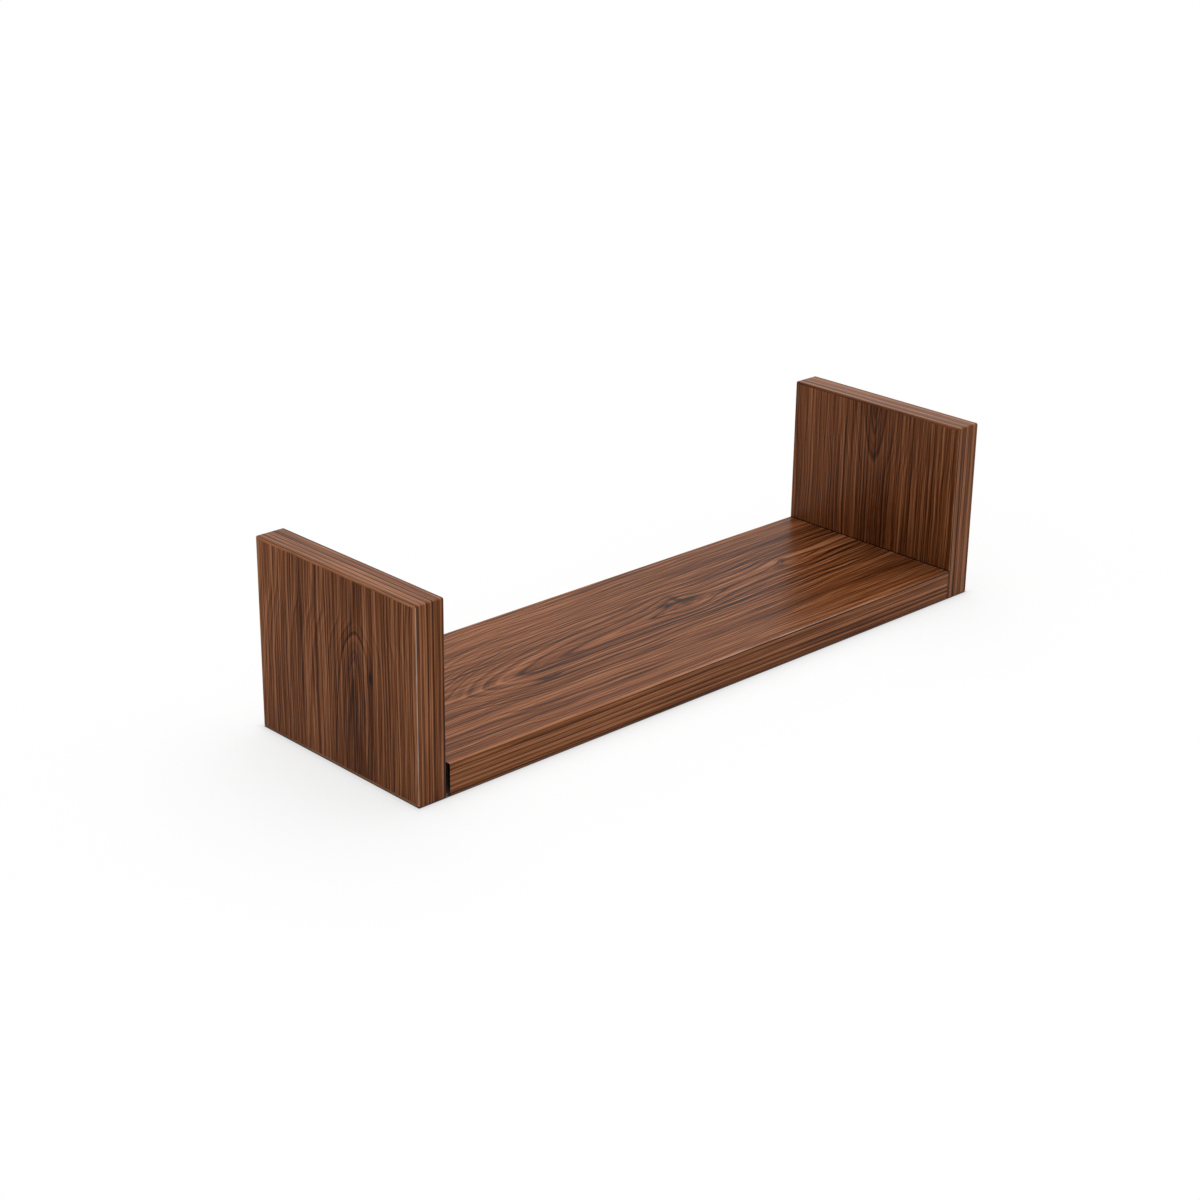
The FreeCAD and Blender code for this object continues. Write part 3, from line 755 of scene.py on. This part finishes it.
# Floor
# The shelf stands on a plain white sheet that takes its soft shadow.
# The sheet is clear from below, so that the underside can be seen, and light comes up through it there.
FLOOR_REACH = 14.0
FLOOR_DROP = 0.0002
FLOOR_SHOWN = (0.27, 0.27, 0.27, 1.0)
FLOOR_BOUNCE = (0.78, 0.78, 0.78, 1.0)
FLOOR_GLOW = 0.725
# Distances from the shelf's outline: the span of the contact shadow, and where light comes through.
CONTACT_SPAN = (-0.002, 0.012)
CONTACT_GLOW = ((0.0, 0.0), (0.13, 0.0), (0.17, 0.82), (0.5, 0.97), (1.0, 1.0))
CLEAR_FROM = -0.003


def background_rays(tree):
    """One for the rays that see the background: straight, mirrored or through glass."""
    rays = add(tree, "LightPath").outputs
    seen = maths(tree, "MAXIMUM", rays["Is Camera Ray"], rays["Is Glossy Ray"])
    return maths(tree, "MAXIMUM", seen, rays["Is Transmission Ray"])


def beyond_boards(tree):
    """How far a point lies outside the shelf's outline."""
    spot = add(tree, "SeparateXYZ", {0: add(tree, "TexCoord").outputs["Object"]}).outputs
    half = cad_box[1]
    beyond = [maths(tree, "SUBTRACT", maths(tree, "ABSOLUTE", spot[axis]), half[axis]) for axis in (0, 1)]
    return maths(tree, "MAXIMUM", *beyond)


def one_way_white():
    """White from above, darker where the boards touch it. From below, and to light under them, clear."""
    material = bpy.data.materials.new("floor_white")
    material.use_nodes = True
    tree = material.node_tree
    tree.nodes.clear()
    watched = background_rays(tree)
    matt = add(tree, "BsdfDiffuse", {"Color": blended(tree, watched, FLOOR_BOUNCE, FLOOR_SHOWN)})
    beyond = beyond_boards(tree)
    contact = ramp(tree, graded(tree, beyond, *CONTACT_SPAN), CONTACT_GLOW)
    glowing = maths(tree, "MULTIPLY", watched, contact)
    glow = add(tree, "Emission", {"Strength": maths(tree, "MULTIPLY", glowing, FLOOR_GLOW)})
    lit = add(tree, "AddShader", {0: matt.outputs[0], 1: glow.outputs[0]})
    unseen = maths(tree, "SUBTRACT", 1.0, add(tree, "LightPath").outputs["Is Camera Ray"])
    covered = maths(tree, "MULTIPLY", unseen, maths(tree, "LESS_THAN", beyond, CLEAR_FROM))
    below = maths(tree, "MAXIMUM", covered, add(tree, "NewGeometry").outputs["Backfacing"])
    clear = add(tree, "BsdfTransparent")
    one_way = add(tree, "MixShader", {0: below, 1: lit.outputs[0], 2: clear.outputs[0]})
    add(tree, "OutputMaterial", {"Surface": one_way.outputs[0]})
    return material


sheet = bmesh.new()
bmesh.ops.create_grid(sheet, x_segments=1, y_segments=1, size=FLOOR_REACH)
bmesh.ops.translate(sheet, verts=sheet.verts, vec=(0.0, 0.0, -FLOOR_DROP))
floor_mesh = bpy.data.meshes.new("floor")
sheet.to_mesh(floor_mesh)
sheet.free()
floor_mesh.materials.append(one_way_white())
floor = bpy.data.objects.new("floor", floor_mesh)
bpy.context.scene.collection.objects.link(floor)

# Light
# A white studio: an even dome of light all round, which shows as plain white behind the shelf.
# One broad light stands overhead, a little to the back and right, and casts the soft shadow.
DOME_LIGHT = 0.5
STUDIO_WHITE = (1.0, 1.0, 1.0, 1.0)
OVERHEAD_FROM = Vector((0.28, 0.22, 1.0))
OVERHEAD_LIGHT = 1.75
OVERHEAD_SPREAD = math.radians(70.0)

world = bpy.data.worlds.new("studio")
world.use_nodes = True
bpy.context.scene.world = world
dome = world.node_tree
dome.nodes.clear()
fill = add(dome, "Background", {"Color": STUDIO_WHITE, "Strength": DOME_LIGHT})
white = add(dome, "Background", {"Color": STUDIO_WHITE, "Strength": 1.0})
seen = add(dome, "MixShader", {0: background_rays(dome), 1: fill.outputs[0], 2: white.outputs[0]})
add(dome, "OutputWorld", {"Surface": seen.outputs[0]})

lamp = bpy.data.lights.new("overhead", "SUN")
lamp.energy = OVERHEAD_LIGHT
lamp.angle = OVERHEAD_SPREAD
overhead = bpy.data.objects.new("overhead", lamp)
overhead.matrix_world = (-OVERHEAD_FROM).to_track_quat("-Z", "Y").to_matrix().to_4x4()
bpy.context.scene.collection.objects.link(overhead)

# Camera
# It looks down over the shelf's left front corner, as the photograph does.
# The lens is a fairly long one, without shift, and the frame is rolled by less than a degree.
AIM = Vector((0.0121, 0.0588, 0.025))
AZIMUTH = math.radians(43.78)
ELEVATION = math.radians(22.12)
ROLL = math.radians(0.74)
DISTANCE = 1.9077
LENS = 70.64
SENSOR_WIDTH = 36.0

view = bpy.data.cameras.new("camera")
view.lens = LENS
view.sensor_width = SENSOR_WIDTH
camera = bpy.data.objects.new("camera", view)
level = math.cos(ELEVATION)
back = Vector((-math.sin(AZIMUTH) * level, -math.cos(AZIMUTH) * level, math.sin(ELEVATION)))
turn = (-back).to_track_quat("-Z", "Y").to_matrix().to_4x4()
camera.matrix_world = Matrix.Translation(AIM + back * DISTANCE) @ turn @ Matrix.Rotation(ROLL, 4, "Z")
bpy.context.scene.collection.objects.link(camera)
bpy.context.scene.camera = camera
bpy.context.scene.view_settings.view_transform = "Standard"
